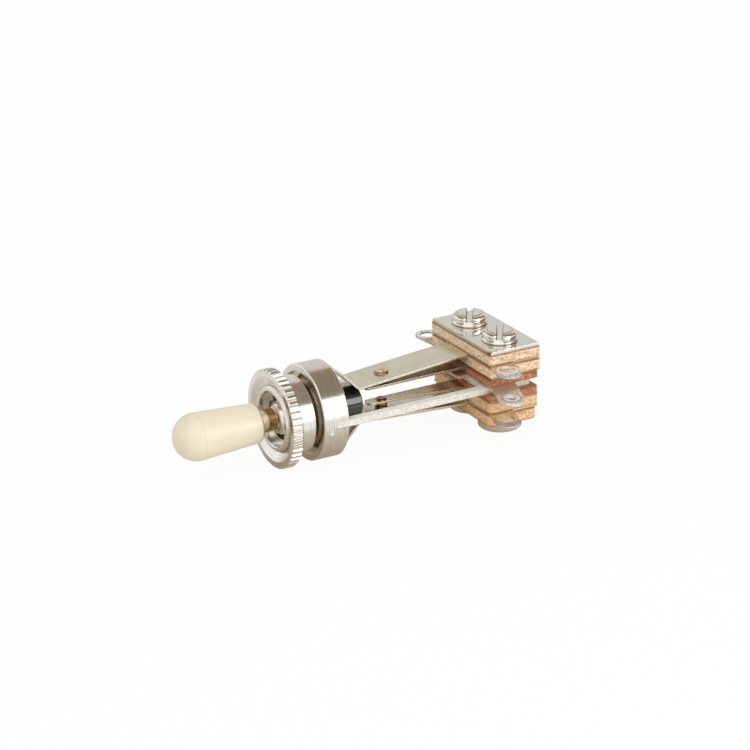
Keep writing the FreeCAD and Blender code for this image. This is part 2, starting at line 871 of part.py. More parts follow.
nodes = {
    "bushing_body": bushing_body(),
    "dress_nut": dress_nut(),
    "pivot_pin": pivot_pin(),
    "lever_shaft": lever_shaft(),
    "lever_cap": lever_cap(),
    "lever_cam": lever_cam(),
    "frame_plate": frame_plate(),
    "ground_lug": ground_lug(),
    "upper_outer_leaf": outer_leaf_with_rivet_hole(
        upper_outer_bottom, near_lug_x, near_lug_y, upper_contact_x, upper_contact_y
    ),
    "lower_outer_leaf": below(
        outer_leaf_with_rivet_hole(
            -lower_outer_top, low_lug_x, low_lug_y, lower_contact_x, lower_contact_y
        )
    ),
    "upper_inner_leaf": upper_inner_leaf(),
    "lower_inner_leaf": lower_inner_leaf(),
    "upper_outer_contact": upper_outer_contact,
    "upper_inner_contact": upper_inner_contact,
    "lower_inner_contact": lower_inner_contact,
    "lower_outer_contact": lower_outer_contact,
    "top_clamp_plate": clamp_plate(),
    "top_insulator": insulator(
        upper_outer_top, clamp_plate_bottom, 0.0, 0.0, overhang=board_overhang
    ),
    "upper_spacer": insulator(
        upper_inner_top, upper_outer_bottom, 0.0, -0.1, overhang=board_overhang
    ),
    "upper_red_spacer": insulator(ground_top, upper_inner_bottom, -0.2, 0.0),
    "lower_red_spacer": insulator(lower_inner_top, -frame_top, -0.05, -0.1, lower_corner),
    "lower_spacer": insulator(lower_outer_top, lower_inner_bottom, 0.1, 0.1, lower_corner),
    "bottom_insulator": insulator(stack_bottom, lower_outer_bottom, -0.1, -0.15, bottom_corner),
    "clamp_screws": group([clamp_screw(-screw_y), clamp_screw(screw_y)]),
    "clamp_nuts": group([round_nut(-screw_y), round_nut(screw_y)]),
    "screw_sleeves": group([screw_sleeve(-screw_y), screw_sleeve(screw_y)]),
}

for name, shape in nodes.items():
    if not shape.isValid():
        print("invalid shape:", name)
    print(name, len(shape.Solids), round(shape.Volume, 3))
    shape.exportStep("parts/" + name + ".step")
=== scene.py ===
import json
import math

import bmesh
import bpy
from mathutils import Matrix, Vector


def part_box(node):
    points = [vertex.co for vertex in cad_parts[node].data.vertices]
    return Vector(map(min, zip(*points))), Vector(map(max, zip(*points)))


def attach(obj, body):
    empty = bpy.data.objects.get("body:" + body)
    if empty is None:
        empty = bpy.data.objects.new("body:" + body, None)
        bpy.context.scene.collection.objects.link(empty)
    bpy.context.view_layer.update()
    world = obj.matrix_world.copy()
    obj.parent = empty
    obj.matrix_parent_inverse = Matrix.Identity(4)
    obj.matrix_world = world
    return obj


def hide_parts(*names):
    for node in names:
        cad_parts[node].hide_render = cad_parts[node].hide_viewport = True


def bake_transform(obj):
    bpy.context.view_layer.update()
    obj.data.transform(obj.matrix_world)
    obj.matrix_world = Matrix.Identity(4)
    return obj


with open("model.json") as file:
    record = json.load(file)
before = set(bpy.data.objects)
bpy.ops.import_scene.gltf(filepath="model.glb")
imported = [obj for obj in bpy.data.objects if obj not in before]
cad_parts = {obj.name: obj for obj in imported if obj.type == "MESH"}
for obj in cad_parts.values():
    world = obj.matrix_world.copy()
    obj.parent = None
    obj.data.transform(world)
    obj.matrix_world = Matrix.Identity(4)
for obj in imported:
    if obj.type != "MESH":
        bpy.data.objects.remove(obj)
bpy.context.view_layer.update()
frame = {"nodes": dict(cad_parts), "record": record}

# Panel selector switch: finishes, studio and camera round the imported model. Metres throughout.
MM = 0.001
scene = bpy.context.scene

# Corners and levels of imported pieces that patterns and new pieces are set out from.
neck_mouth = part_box("bushing_body")[0].x
nut_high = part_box("dress_nut")[1]
cap_low, cap_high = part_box("lever_cap")
screws_low, screws_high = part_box("clamp_screws")
stack_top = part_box("top_clamp_plate")[1].z
floor_height = min(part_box(node)[0].z for node in ("bushing_body", "dress_nut", "clamp_nuts"))

# The two clamp screws: where they stand and how big their heads are.
screw_flange = (screws_high.x - screws_low.x) / 2.0
screw_along = (screws_high.x + screws_low.x) / 2.0
screw_middle = (screws_high.y + screws_low.y) / 2.0
screw_spacing = screws_high.y - screws_low.y - 2.0 * screw_flange
head_height = 2.0 * MM
head_slot_width = 1.1 * MM
head_slot_depth = 1.0 * MM
head_slot_angle = math.radians(57)

# The bushing and the thread that shows between the nut and the disc.
neck_radius = 5.95 * MM
thread_pitch = 0.794 * MM
thread_ridge = 0.1 * MM
thread_end = 0.55 * MM
mouth_depth = 1.4 * MM
mouth_rim_radius = 5.12 * MM
mouth_radius = 4.95 * MM
bore_limit = 4.6 * MM

# The eyes of the lugs, as distances along the stack and aside from the middle.
leaf_eye_along = 34.55 * MM
near_eye_aside = 12.93 * MM
far_eye_aside = 15.2 * MM
ground_eye_along = 34.15 * MM
ground_eye_aside = 14.95 * MM

# Where the outer leaves start to bend, and how finely they are cut for it.
root_bend = 31.0 * MM
bend_steps = 36

# How close points of a mesh are when they are one point, when the two parts of a screw meet in one,
# and when they lie on a plane that cuts the mesh.
same_point = 0.0005 * MM
same_joint = 0.0002 * MM
on_plane = 0.00001 * MM

WHITE = (1.0, 1.0, 1.0)
TIN_HIGHLIGHT = (0.99, 0.99, 0.98)
FLOAT = "NodeSocketFloat"
COLOUR = "NodeSocketColor"
VECTOR = "NodeSocketVector"
GEOMETRY = "NodeSocketGeometry"
MATERIAL = "NodeSocketMaterial"


class Wiring:
    """Adds nodes to a tree and joins them; what an input gets is a value or another output."""

    def __init__(self, tree):
        self.tree = tree

    def add(self, kind, inputs=None, **settings):
        node = self.tree.nodes.new(kind)
        for key, value in settings.items():
            setattr(node, key, value)
        for key, value in (inputs or {}).items():
            self.feed(node.inputs[key], value)
        return node

    def feed(self, socket, value):
        if isinstance(value, bpy.types.NodeSocket):
            self.tree.links.new(value, socket)
        elif socket.type == "RGBA":
            socket.default_value = (*value, 1.0)
        else:
            socket.default_value = value

    def use(self, tree, **values):
        """One of the shared effects, placed here with its own values."""
        node = self.add("ShaderNodeGroup", node_tree=tree)
        for key, value in values.items():
            self.feed(node.inputs[key.replace("_", " ")], value)
        return node.outputs

    def maths(self, operation, a, b=0.0):
        return self.add("ShaderNodeMath", {0: a, 1: b}, operation=operation).outputs[0]

    def plus(self, a, b):
        return self.maths("ADD", a, b)

    def minus(self, a, b):
        return self.maths("SUBTRACT", a, b)

    def times(self, first, *others):
        for factor in others:
            first = self.maths("MULTIPLY", first, factor)
        return first

    def size(self, value):
        return self.maths("ABSOLUTE", value)

    def over(self, value, limit):
        return self.maths("GREATER_THAN", value, limit)

    def under(self, value, limit):
        return self.maths("LESS_THAN", value, limit)

    def distance(self, a, b):
        """How far a point is from the middle when it lies a one way and b across."""
        return self.maths("SQRT", self.plus(self.maths("POWER", a, 2.0), self.maths("POWER", b, 2.0)))

    def span(self, value, low, high, to_low=0.0, to_high=1.0):
        inputs = {"Value": value, "From Min": low, "From Max": high, "To Min": to_low, "To Max": to_high}
        return self.add("ShaderNodeMapRange", inputs).outputs[0]

    def near(self, value, place, nothing, full):
        """Mask that is one up to the full distance from a place and nothing beyond the other."""
        return self.span(self.size(self.minus(value, place)), nothing, full)

    def vectors(self, operation, a, b):
        node = self.add("ShaderNodeVectorMath", {0: a, 1: b}, operation=operation)
        return node.outputs["Value" if operation == "DOT_PRODUCT" else "Vector"]

    def blend(self, share, a, b, mode="MIX"):
        node = self.add("ShaderNodeMix", data_type="RGBA", blend_type=mode)
        self.feed(node.inputs["Factor"], share)
        self.feed(node.inputs[6], a)
        self.feed(node.inputs[7], b)
        return node.outputs[2]

    def coat(self, tone, colour, *shares):
        """A colour laid over a tone, as much as the product of the shares."""
        return self.blend(self.times(*shares), tone, colour)

    def noise(self, vector, scale, detail=3.0, roughness=0.55):
        inputs = {"Vector": vector, "Scale": scale, "Detail": detail, "Roughness": roughness}
        return self.add("ShaderNodeTexNoise", inputs).outputs["Fac"]

    def stretch(self, vector, scale, turn=(0.0, 0.0, 0.0)):
        inputs = {"Vector": vector, "Scale": scale, "Rotation": turn}
        return self.add("ShaderNodeMapping", inputs).outputs[0]

    def ramp(self, value, stops):
        node = self.add("ShaderNodeValToRGB", {"Fac": value})
        elements = node.color_ramp.elements
        while len(elements) < len(stops):
            elements.new(0.5)
        for element, (place, colour) in zip(elements, stops):
            element.position = place
            element.color = (*colour, 1.0)
        return node.outputs["Color"]

    def place(self):
        return self.add("ShaderNodeTexCoord").outputs["Object"]

    def apart(self, vector):
        return self.add("ShaderNodeSeparateXYZ", {0: vector}).outputs

    def together(self, **parts):
        """A vector of the named parts x, y and z, the others nothing."""
        inputs = {key.upper(): value for key, value in parts.items()}
        return self.add("ShaderNodeCombineXYZ", inputs).outputs[0]

    def facing(self, axis, normal="True Normal"):
        """How far the surface faces along one axis, from -1 to 1."""
        return self.apart(self.add("ShaderNodeNewGeometry").outputs[normal])[axis]

    def bump(self, height, distance, edges=None):
        node = self.add("ShaderNodeBump", {"Height": height, "Distance": distance, "Strength": 1.0})
        if edges:
            self.feed(node.inputs["Normal"], edges["Normal"])
        return node.outputs["Normal"]


class Finish(Wiring):
    """A new material: its Principled shader with its uniform values, and the wiring before it."""

    def __init__(self, name, **shader):
        self.material = bpy.data.materials.new(name)
        self.material.use_nodes = True
        super().__init__(self.material.node_tree)
        self.surface = self.tree.nodes["Principled BSDF"].inputs
        for key, value in shader.items():
            self.surface[key].default_value = value

    def done(self, tone, roughness, height, distance, edges=None):
        """Joins the colour, the roughness and the relief to the shader."""
        self.feed(self.surface["Base Color"], tone)
        self.feed(self.surface["Roughness"], roughness)
        self.feed(self.surface["Normal"], self.bump(height, distance, edges))
        return self.material


def new_tree(kind, name, inputs, outputs):
    """A new node tree with named inputs and outputs, and the wiring to fill it."""
    tree = bpy.data.node_groups.new(name, kind)
    for label, socket_kind, *value in inputs:
        socket = tree.interface.new_socket(label, in_out="INPUT", socket_type=socket_kind)
        if value:
            socket.default_value = value[0]
    for label, socket_kind in outputs:
        tree.interface.new_socket(label, in_out="OUTPUT", socket_type=socket_kind)
    work = Wiring(tree)
    given = work.add("NodeGroupInput").outputs
    result = work.add("NodeGroupOutput").inputs
    return tree, work, given, result


def edge_light_mask():
    """Mask of the edges, in patches, on which finishes lay painted highlights or painted shade (and the
    boards their saw scorch), and a normal that rounds them.
    """
    tree, work, given, result = new_tree(
        "ShaderNodeTree",
        "edge light mask",
        [("Reach", FLOAT, 0.1 * MM), ("Patch scale", FLOAT, 900.0), ("Evenness", FLOAT, 0.35),
         ("Amount", FLOAT, 1.0)],
        [("Mask", FLOAT), ("Normal", VECTOR)],
    )
    rounded = work.add("ShaderNodeBevel", {"Radius": given["Reach"]}, samples=6).outputs[0]
    flat = work.add("ShaderNodeNewGeometry").outputs["True Normal"]
    edge = work.span(work.minus(1.0, work.vectors("DOT_PRODUCT", rounded, flat)), 0.01, 0.16)
    patches = work.span(work.noise(work.place(), given["Patch scale"]), 0.35, 0.6, given["Evenness"], 1.0)
    work.feed(result["Mask"], work.times(edge, patches, given["Amount"]))
    work.feed(result["Normal"], rounded)
    return tree


def turned_marks():
    """Lathe lines round the switch axis, softer bands, a slow ripple, and the distance from the axis."""
    tree, work, given, result = new_tree(
        "ShaderNodeTree",
        "turned marks",
        [("Fineness", FLOAT, 9000.0), ("Drift", FLOAT, 2.2)],
        [("Lines", FLOAT), ("Bands", FLOAT), ("Ripple", FLOAT), ("Radius", FLOAT)],
    )
    here = work.place()
    x, y, z = work.apart(here)
    radius = work.distance(y, z)
    turn = work.times(work.maths("ARCTAN2", y, z), 0.5 * MM)
    profile = work.together(x=x, y=radius, z=turn)
    work.feed(result["Lines"], work.noise(profile, given["Fineness"], 2.0))
    coarse = work.maths("DIVIDE", given["Fineness"], given["Drift"])
    work.feed(result["Bands"], work.noise(profile, coarse, 2.0))
    work.feed(result["Ripple"], work.noise(work.stretch(here, (2600.0, 700.0, 700.0)), 1.0, 3.0, 0.6))
    work.feed(result["Radius"], radius)
    return tree


def cloudy_plating():
    """Soft clouds and small pits of an unpolished plated sheet."""
    tree, work, given, result = new_tree(
        "ShaderNodeTree",
        "cloudy plating",
        [("Cloud scale", FLOAT, 500.0), ("Pit scale", FLOAT, 4000.0)],
        [("Clouds", FLOAT), ("Pits", FLOAT)],
    )
    here = work.place()
    work.feed(result["Clouds"], work.span(work.noise(here, given["Cloud scale"], 5.0, 0.62), 0.32, 0.68))
    work.feed(result["Pits"], work.span(work.noise(here, given["Pit scale"], 2.0, 0.6), 0.5, 0.62))
    return tree


def rolled_grain():
    """Grain that runs the way a strip was rolled, along one axis of the object."""
    tree, work, given, result = new_tree(
        "ShaderNodeTree",
        "rolled grain",
        [("Across", VECTOR, (150.0, 6000.0, 6000.0)), ("Sweep", VECTOR, (60.0, 700.0, 700.0))],
        [("Grain", FLOAT), ("Sweeps", FLOAT)],
    )
    here = work.place()
    fine = work.vectors("MULTIPLY", here, given["Across"])
    broad = work.vectors("MULTIPLY", here, given["Sweep"])
    work.feed(result["Grain"], work.noise(fine, 1.0, 3.0, 0.6))
    work.feed(result["Sweeps"], work.noise(broad, 1.0, 2.0, 0.5))
    return tree


def polished_wear():
    """Hairline scratches and the slow waves of a polished face."""
    tree, work, given, result = new_tree(
        "ShaderNodeTree",
        "polished wear",
        [("Wave scale", FLOAT, 260.0)],
        [("Hair", FLOAT), ("Waves", FLOAT)],
    )
    here = work.place()
    scratches = work.noise(work.stretch(here, (300.0, 7000.0, 3000.0), (0.0, 0.0, 0.6)), 1.0, 2.0)
    work.feed(result["Hair"], work.span(scratches, 0.6, 0.75))
    work.feed(result["Waves"], work.noise(here, given["Wave scale"], 1.0))
    return tree


def ring_round_eye():
    """Mask of a ring round the eye of a lug, alike on both sides of the switch."""
    tree, work, given, result = new_tree(
        "ShaderNodeTree",
        "ring round an eye",
        [("Along", FLOAT, leaf_eye_along), ("Aside", FLOAT, far_eye_aside), ("Radius", FLOAT, 1.5 * MM),
         ("Nothing", FLOAT, 0.3 * MM), ("Full", FLOAT, 0.1 * MM)],
        [("Ring", FLOAT)],
    )
    x, y, _ = work.apart(work.place())
    off_eye = work.distance(work.minus(x, given["Along"]), work.minus(work.size(y), given["Aside"]))
    ring = work.near(off_eye, given["Radius"], given["Nothing"], given["Full"])
    work.feed(result["Ring"], ring)
    return tree


BOARDS = (
    "top_insulator", "upper_spacer", "upper_red_spacer",
    "lower_red_spacer", "lower_spacer", "bottom_insulator",
)


def paper_laminate():
    """Sawn edge of a paper board: plies, saw streaks, specks of resin and paper, varnished joints."""
    tree, work, given, result = new_tree(
        "ShaderNodeTree",
        "paper laminate",
        [("Body", COLOUR, (0.6, 0.4, 0.2, 1)), ("Pale", COLOUR, (0.8, 0.7, 0.5, 1)),
         ("Dark", COLOUR, (0.3, 0.15, 0.06, 1)), ("Speck scale", FLOAT, 2600.0)],
        [("Colour", COLOUR), ("Height", FLOAT)],
    )
    lower_tint = (1.02, 0.80, 0.54)
    varnish = (0.40, 0.14, 0.035)
    here = work.place()
    specks = work.noise(here, given["Speck scale"], 4.0, 0.65)
    streaks = work.noise(work.stretch(here, (700.0, 700.0, 2200.0), (0.6, 0.45, 0.9)), 1.0, 4.0, 0.7)
    plies = work.noise(work.stretch(here, (160.0, 160.0, 4200.0)), 1.0, 2.0, 0.5)
    tone = work.coat(given["Body"], given["Pale"], work.span(streaks, 0.40, 0.58))
    tone = work.coat(tone, given["Pale"], work.span(specks, 0.50, 0.56, 0.0, 0.9))
    tone = work.coat(tone, given["Dark"], work.span(specks, 0.45, 0.40, 0.0, 0.6))
    tone = work.coat(tone, given["Dark"], work.span(plies, 0.58, 0.70, 0.0, 0.25))
    z = work.apart(here)[2]
    # Darker and more orange towards the bottom of the stack.
    low_in_stack = work.span(z, 1.0 * MM, -2.6 * MM, 0.0, 0.75)
    tone = work.blend(low_in_stack, tone, lower_tint, "MULTIPLY")
    nearest = 1.0
    for board in BOARDS:
        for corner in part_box(board):
            nearest = work.maths("MINIMUM", nearest, work.size(work.minus(z, corner.z)))
    ragged = work.span(streaks, 0.3, 0.7, 0.08 * MM, 0.32 * MM)
    tone = work.coat(tone, varnish, work.under(nearest, ragged), 0.85)
    work.feed(result["Colour"], tone)
    work.feed(result["Height"], work.plus(work.times(specks, 0.6), work.times(plies, 0.4)))
    return tree


EDGES = edge_light_mask()
TURNED = turned_marks()
CLOUDS = cloudy_plating()
GRAIN = rolled_grain()
POLISH = polished_wear()
EYE = ring_round_eye()
BOARD = paper_laminate()


def shade(colour, factor):
    """The same colour, darker or brighter."""
    return tuple(channel * factor for channel in colour)


def turned_plating(name, colour, roughness, grooves, painted_light_and_marks=None):
    """Bright nickel on a turned piece: lathe lines, faint bands, a painted highlight on its edges."""
    work = Finish(name, Metallic=1.0)
    marks = work.use(TURNED)
    edges = work.use(EDGES, Reach=0.12 * MM)
    clouds = work.use(CLOUDS, Cloud_scale=420.0)["Clouds"]
    tone = work.coat(colour, shade(colour, 0.88), work.span(marks["Bands"], 0.42, 0.62))
    tone = work.coat(tone, shade(colour, 0.8), work.span(clouds, 0.5, 1.0, 0.0, 0.25))
    # Painted highlight: the edges are coloured lighter.
    tone = work.coat(tone, shade(colour, 1.12), edges["Mask"])
    # Painted shade or a painted reflection that the caller adds, in the recess, the serrations or on the
    # shank.
    if painted_light_and_marks:
        tone = painted_light_and_marks(work, tone, marks["Radius"])
    dull = work.plus(work.times(clouds, 0.08), roughness)
    height = work.plus(marks["Lines"], work.times(marks["Ripple"], 3.0))
    return work.done(tone, dull, height, grooves, edges)


def recess_shade(work, tone, radius):
    """Painted shade: dull brown in the recess behind the nut and on the bare thread."""
    shade_brown = (0.50, 0.40, 0.29)
    recess_radius = 7.52 * MM
    recess_start = -0.7 * MM
    recess_end = 0.8 * MM
    x = work.apart(work.place())[0]
    inside = work.under(radius, recess_radius)
    return work.coat(tone, shade_brown, inside, work.over(x, recess_start), work.under(x, recess_end), 0.8)


def serration_shade(work, tone, radius):
    """Painted shade: brown between the serrations of the nut, the more the deeper."""
    shade_brown = (0.34, 0.27, 0.21)
    hub_radius = 7.6 * MM
    depth = work.span(radius, nut_high.z - 0.05 * MM, nut_high.z - 0.3 * MM)
    sideways = work.under(work.size(work.facing(0)), 0.5)
    return work.coat(tone, shade_brown, depth, sideways, work.over(radius, hub_radius), 0.75)


def shank_painted_reflection(work, tone, _radius):
    """Painted reflection: the straight part of the lever is painted in warm brown streaks, with painted
    shade at its foot by the ball; the ball and the rest stay bright.
    """
    reflected_brown = (0.60, 0.43, 0.25)
    reflected_straw = (0.92, 0.78, 0.57)
    foot_shade = (0.16, 0.09, 0.045)
    here = work.place()
    x = work.apart(here)[0]
    shank = work.span(x, -5.2 * MM, -5.45 * MM)
    streaks = work.noise(work.stretch(here, (90.0, 520.0, 520.0)), 1.0, 2.0)
    warm = work.coat(reflected_brown, reflected_straw, work.span(streaks, 0.4, 0.6))
    foot = work.span(x, -5.75 * MM, -5.3 * MM)
    # Painted shade where the shank meets the ball.
    warm = work.coat(warm, foot_shade, foot, 0.7)
    return work.coat(tone, warm, shank)


def strip_metal(name, colour, roughness, across, sweep, warm):
    """Rolled strip: grain along it, painted shade on the inner leaves and the undersides, brown lug roots,
    tinned lugs with a painted highlight round their eyes, painted highlights on the leaf edges and painted
    shade on the lug edges.
    """
    inner_leaf_shade = (0.36, 0.24, 0.11)
    root_brown = (0.55, 0.39, 0.21)
    underside_shade = (0.25, 0.16, 0.07)
    old_tin = (0.50, 0.50, 0.48)
    clean_tin = (0.96, 0.96, 0.95)
    dirty_tin = (0.3, 0.29, 0.27)
    leaf_edge_highlight = (0.93, 0.91, 0.84)
    lug_edge_shade = (0.26, 0.24, 0.21)
    inner_leaf_height = 2.85 * MM

    work = Finish(name, Metallic=1.0)
    grain = work.use(GRAIN, Across=across, Sweep=sweep)
    edges = work.use(EDGES, Reach=0.12 * MM, Evenness=0.85)
    clouds = work.use(CLOUDS, Cloud_scale=600.0)["Clouds"]
    tone = work.coat(colour, warm, work.span(grain["Sweeps"], 0.4, 0.65))
    tone = work.coat(tone, shade(colour, 0.86), work.span(grain["Grain"], 0.45, 0.7, 0.0, 0.06))

    x, y, z = work.apart(work.place())
    inner = work.under(work.size(z), inner_leaf_height)
    # Painted shade: the inner leaves, between the outer ones, darken towards the stack.
    tone = work.coat(tone, inner_leaf_shade, inner, work.span(x, 14 * MM, 28 * MM, 0.25, 0.85))
    aside = work.size(y)
    tone = work.coat(tone, root_brown, work.span(aside, 10.2 * MM, 11.6 * MM, 0.0, 0.6))
    # Painted shade: faces that look down are painted dark brown.
    tone = work.coat(tone, underside_shade, work.span(work.facing(2, "Normal"), -0.5, -0.8), 0.9)

    tinned = work.span(work.plus(aside, work.times(clouds, 0.9 * MM)), 13.3 * MM, 14.6 * MM)
    mottling = work.span(work.noise(work.place(), 1900.0, 4.0, 0.7), 0.42, 0.58)
    near_side = work.under(y, 0.0)
    eye_aside = work.minus(far_eye_aside, work.times(near_side, far_eye_aside - near_eye_aside))
    # Painted highlight: a bright tin ring round each eye, which also counts as tinned.
    eye_rim_highlight = work.use(EYE, Aside=eye_aside, Radius=1.72 * MM, Nothing=0.34 * MM, Full=0.18 * MM)["Ring"]
    tin = work.coat(work.coat(old_tin, clean_tin, mottling), dirty_tin, 0.25)
    tin = work.coat(tin, TIN_HIGHLIGHT, eye_rim_highlight)
    tinned = work.maths("MAXIMUM", tinned, work.times(eye_rim_highlight, 0.9))
    tone = work.coat(tone, tin, tinned)
    # Painted highlight on the edges of the leaves, painted shade on the edges of the tinned lugs; the edges
    # are also made less metallic, which lightens them.
    tone = work.coat(tone, work.coat(leaf_edge_highlight, lug_edge_shade, tinned), edges["Mask"])

    pale = work.maths("MAXIMUM", work.times(tinned, 0.3), work.times(edges["Mask"], 0.6))
    work.feed(work.surface["Metallic"], work.minus(1.0, pale))
    dull = work.plus(work.plus(work.times(clouds, 0.14), work.times(tinned, 0.12)), roughness)
    height = work.plus(grain["Grain"], work.times(mottling, tinned, 50.0))
    return work.done(tone, dull, height, 0.0007 * MM, edges)


def cloudy_sheet(name, colour, roughness, stain, stain_share, pale=0.0, edge=0.12 * MM, depth=0.86,
                 side=1.0, pit=5000.0, rim=1.2, painted_light_and_marks=None):
    """Plated sheet metal: cloudy, a little stained, with painted shade on upright faces and a painted
    highlight or painted shade on edges.
    """
    work = Finish(name, Metallic=1.0 - pale)
    edges = work.use(EDGES, Reach=edge)
    cloud = work.use(CLOUDS, Cloud_scale=1300.0, Pit_scale=pit)
    tone = work.coat(colour, shade(colour, depth), cloud["Clouds"])
    tone = work.coat(tone, stain, cloud["Pits"], stain_share)
    # Painted shade: upright faces are multiplied darker and warmer by side; a side of 1 leaves them as they
    # are.
    upright = work.under(work.size(work.facing(2)), 0.5)
    tone = work.blend(upright, tone, shade((1.0, 0.98, 0.94), side), "MULTIPLY")
    # Painted highlight and marks round the lug's eye, added by the caller.
    if painted_light_and_marks:
        tone = painted_light_and_marks(work, tone)
    # Painted light on the edges: a rim above 1 is a painted highlight, below 1 a painted shade.
    tone = work.coat(tone, shade(colour, rim), edges["Mask"])
    dull = work.plus(work.times(cloud["Clouds"], 0.18), roughness)
    uneven = work.plus(cloud["Clouds"], work.times(cloud["Pits"], 0.5))
    return work.done(tone, dull, uneven, 0.012 * MM, edges)


def mirror_plating(name, colour, roughness, ripple, painted_light_and_marks):
    """Polished plate: near a mirror, with a slow ripple, hairline scratches and soft edges with a painted
    highlight on them.
    """
    work = Finish(name, Metallic=1.0)
    edges = work.use(EDGES, Reach=0.15 * MM)
    polish = work.use(POLISH)
    tone = work.coat(colour, shade(colour, 0.8), polish["Hair"], 0.3)
    # Painted highlight: the edges are coloured lighter.
    tone = work.coat(tone, shade(colour, 1.1), edges["Mask"])
    # Painted shade that the caller adds.
    tone = painted_light_and_marks(work, tone)
    dull = work.plus(work.times(polish["Hair"], 0.1), roughness)
    height = work.plus(work.times(polish["Waves"], ripple), work.times(polish["Hair"], 0.0005))
    return work.done(tone, dull, height, 1.0 * MM, edges)


def lug_root_and_eye_rings(work, tone):
    """Brown towards the root of the ground lug, a dark ring round its eye, and a painted highlight on the
    rim of the eye.
    """
    lug_root_brown = (0.50, 0.31, 0.15)
    eye_ring_dark = (0.34, 0.30, 0.26)
    eye = {"Along": ground_eye_along, "Aside": ground_eye_aside}
    y = work.apart(work.place())[1]
    tone = work.coat(tone, lug_root_brown, work.span(y, -13.7 * MM, -12.3 * MM, 0.0, 0.7))
    dark = work.use(EYE, **eye, Radius=1.75 * MM, Nothing=0.3 * MM, Full=0.1 * MM)["Ring"]
    tone = work.coat(tone, eye_ring_dark, dark, 0.55)
    # Painted highlight: a bright ring on the rim of the eye.
    painted_highlight = work.use(EYE, **eye, Radius=1.2 * MM, Nothing=0.34 * MM, Full=0.16 * MM)["Ring"]
    return work.coat(tone, TIN_HIGHLIGHT, painted_highlight)


def front_face_shade(work, tone):
    """Painted shade: olive on the cut edge that faces the lever."""
    olive_shade = (0.32, 0.27, 0.17)
    return work.coat(tone, olive_shade, work.span(work.facing(0), -0.5, -0.8, 0.0, 0.7))


def head_shade(work, tone):
    """Painted shade: brown along the slot walls of the screw heads, in a ring round their tops and where
    they sit on the plate.
    """
    slot_shade = (0.17, 0.11, 0.06)
    top_ring_shade = (0.36, 0.28, 0.19)
    head_seat_shade = (0.36, 0.21, 0.08)
    top_radius = 2.3 * MM
    top_level = stack_top + 1.86 * MM
    slot_floor = stack_top + head_height - head_slot_depth - 0.1 * MM
    x, y, z = work.apart(work.place())
    own_x = work.minus(x, screw_along)
    aside = work.minus(y, screw_middle)
    own_y = work.minus(aside, work.times(work.maths("SIGN", aside), screw_spacing / 2.0))
    off_slot = work.minus(
        work.times(own_y, math.cos(head_slot_angle)),
        work.times(own_x, math.sin(head_slot_angle)),
    )
    wall = work.near(work.size(off_slot), head_slot_width / 2.0, 0.16 * MM, 0.04 * MM)
    tone = work.coat(tone, slot_shade, wall, work.over(z, slot_floor), 0.85)
    ring = work.near(work.distance(own_x, own_y), top_radius, 0.14 * MM, 0.03 * MM)
    tone = work.coat(tone, top_ring_shade, ring, work.over(z, top_level), 0.6)
    seat = work.span(z, stack_top + 0.26 * MM, stack_top + 0.06 * MM)
    return work.coat(tone, head_seat_shade, seat, 0.85)


def moulded_cream():
    """Cream moulded plastic: faint swirl, dust, painted shade at its foot, and a parting line where the end
    rounds, dented and painted with shade.
    """
    cream = (0.86, 0.772, 0.60)
    swirl_cream = (0.83, 0.725, 0.54)
    dust_brown = (0.5, 0.4, 0.26)
    parting_shade = (0.6, 0.47, 0.28)
    foot_shade = (0.42, 0.22, 0.07)
    parting = cap_low.x + (cap_high.z - cap_low.z) / 2.0
    work = Finish("cream moulding", IOR=1.5)
    here = work.place()
    x = work.apart(here)[0]
    swirl = work.noise(work.stretch(here, (120.0, 260.0, 260.0)), 1.0, 3.0)
    dust = work.noise(here, 5200.0, 2.0)
    tone = work.coat(cream, swirl_cream, work.span(swirl, 0.35, 0.7))
    tone = work.coat(tone, dust_brown, work.span(dust, 0.7, 0.8, 0.0, 0.25))
    # Painted shade along the parting line, which is also dented.
    line = work.near(x, parting, 0.09 * MM, 0.0)
    tone = work.coat(tone, parting_shade, line, 0.45)
    # Painted shade at the foot of the cap, where it meets the lever.
    foot = work.span(x, cap_high.x - 0.42 * MM, cap_high.x - 0.24 * MM)
    tone = work.coat(tone, foot_shade, foot, 0.8)
    dull = work.span(swirl, 0.3, 0.7, 0.28, 0.36)
    orange_peel = work.noise(here, 1500.0, 2.0)
    height = work.minus(work.times(orange_peel, 0.08), line)
    edges = work.use(EDGES, Reach=0.15 * MM)
    return work.done(tone, dull, height, 0.02 * MM, edges)


def turned_black():
    """Glossy black plastic with faint turning lines, a few pale scuffs and a painted highlight on its
    edges.
    """
    black = (0.012, 0.012, 0.013)
    scuffed = (0.08, 0.075, 0.07)
    painted_highlight = (0.06, 0.055, 0.05)
    work = Finish("black cam plastic", IOR=1.9)
    marks = work.use(TURNED, Fineness=7000.0)
    edges = work.use(EDGES, Reach=0.12 * MM, Amount=0.5)
    scuffs = work.span(work.noise(work.place(), 1800.0, 4.0), 0.62, 0.75)
    tone = work.coat(black, scuffed, scuffs, 0.3)
    # Painted highlight: the edges are coloured lighter.
    tone = work.coat(tone, painted_highlight, edges["Mask"])
    return work.done(tone, work.span(scuffs, 0.0, 1.0, 0.14, 0.4), marks["Lines"], 0.002 * MM, edges)


def sawn_board(name, body, pale, dark):
    """Sawn paper laminate, scorched along its edges by the saw."""
    scorched = (0.42, 0.16, 0.04)
    work = Finish(name, IOR=1.5)
    board = work.use(BOARD, Body=body, Pale=pale, Dark=dark)
    edges = work.use(EDGES, Reach=0.16 * MM, Patch_scale=1400.0)
    tone = work.coat(board["Colour"], scorched, edges["Mask"], 0.7)
    dull = work.span(board["Height"], 0.35, 0.65, 0.65, 0.4)
    return work.done(tone, dull, board["Height"], 0.08 * MM, edges)


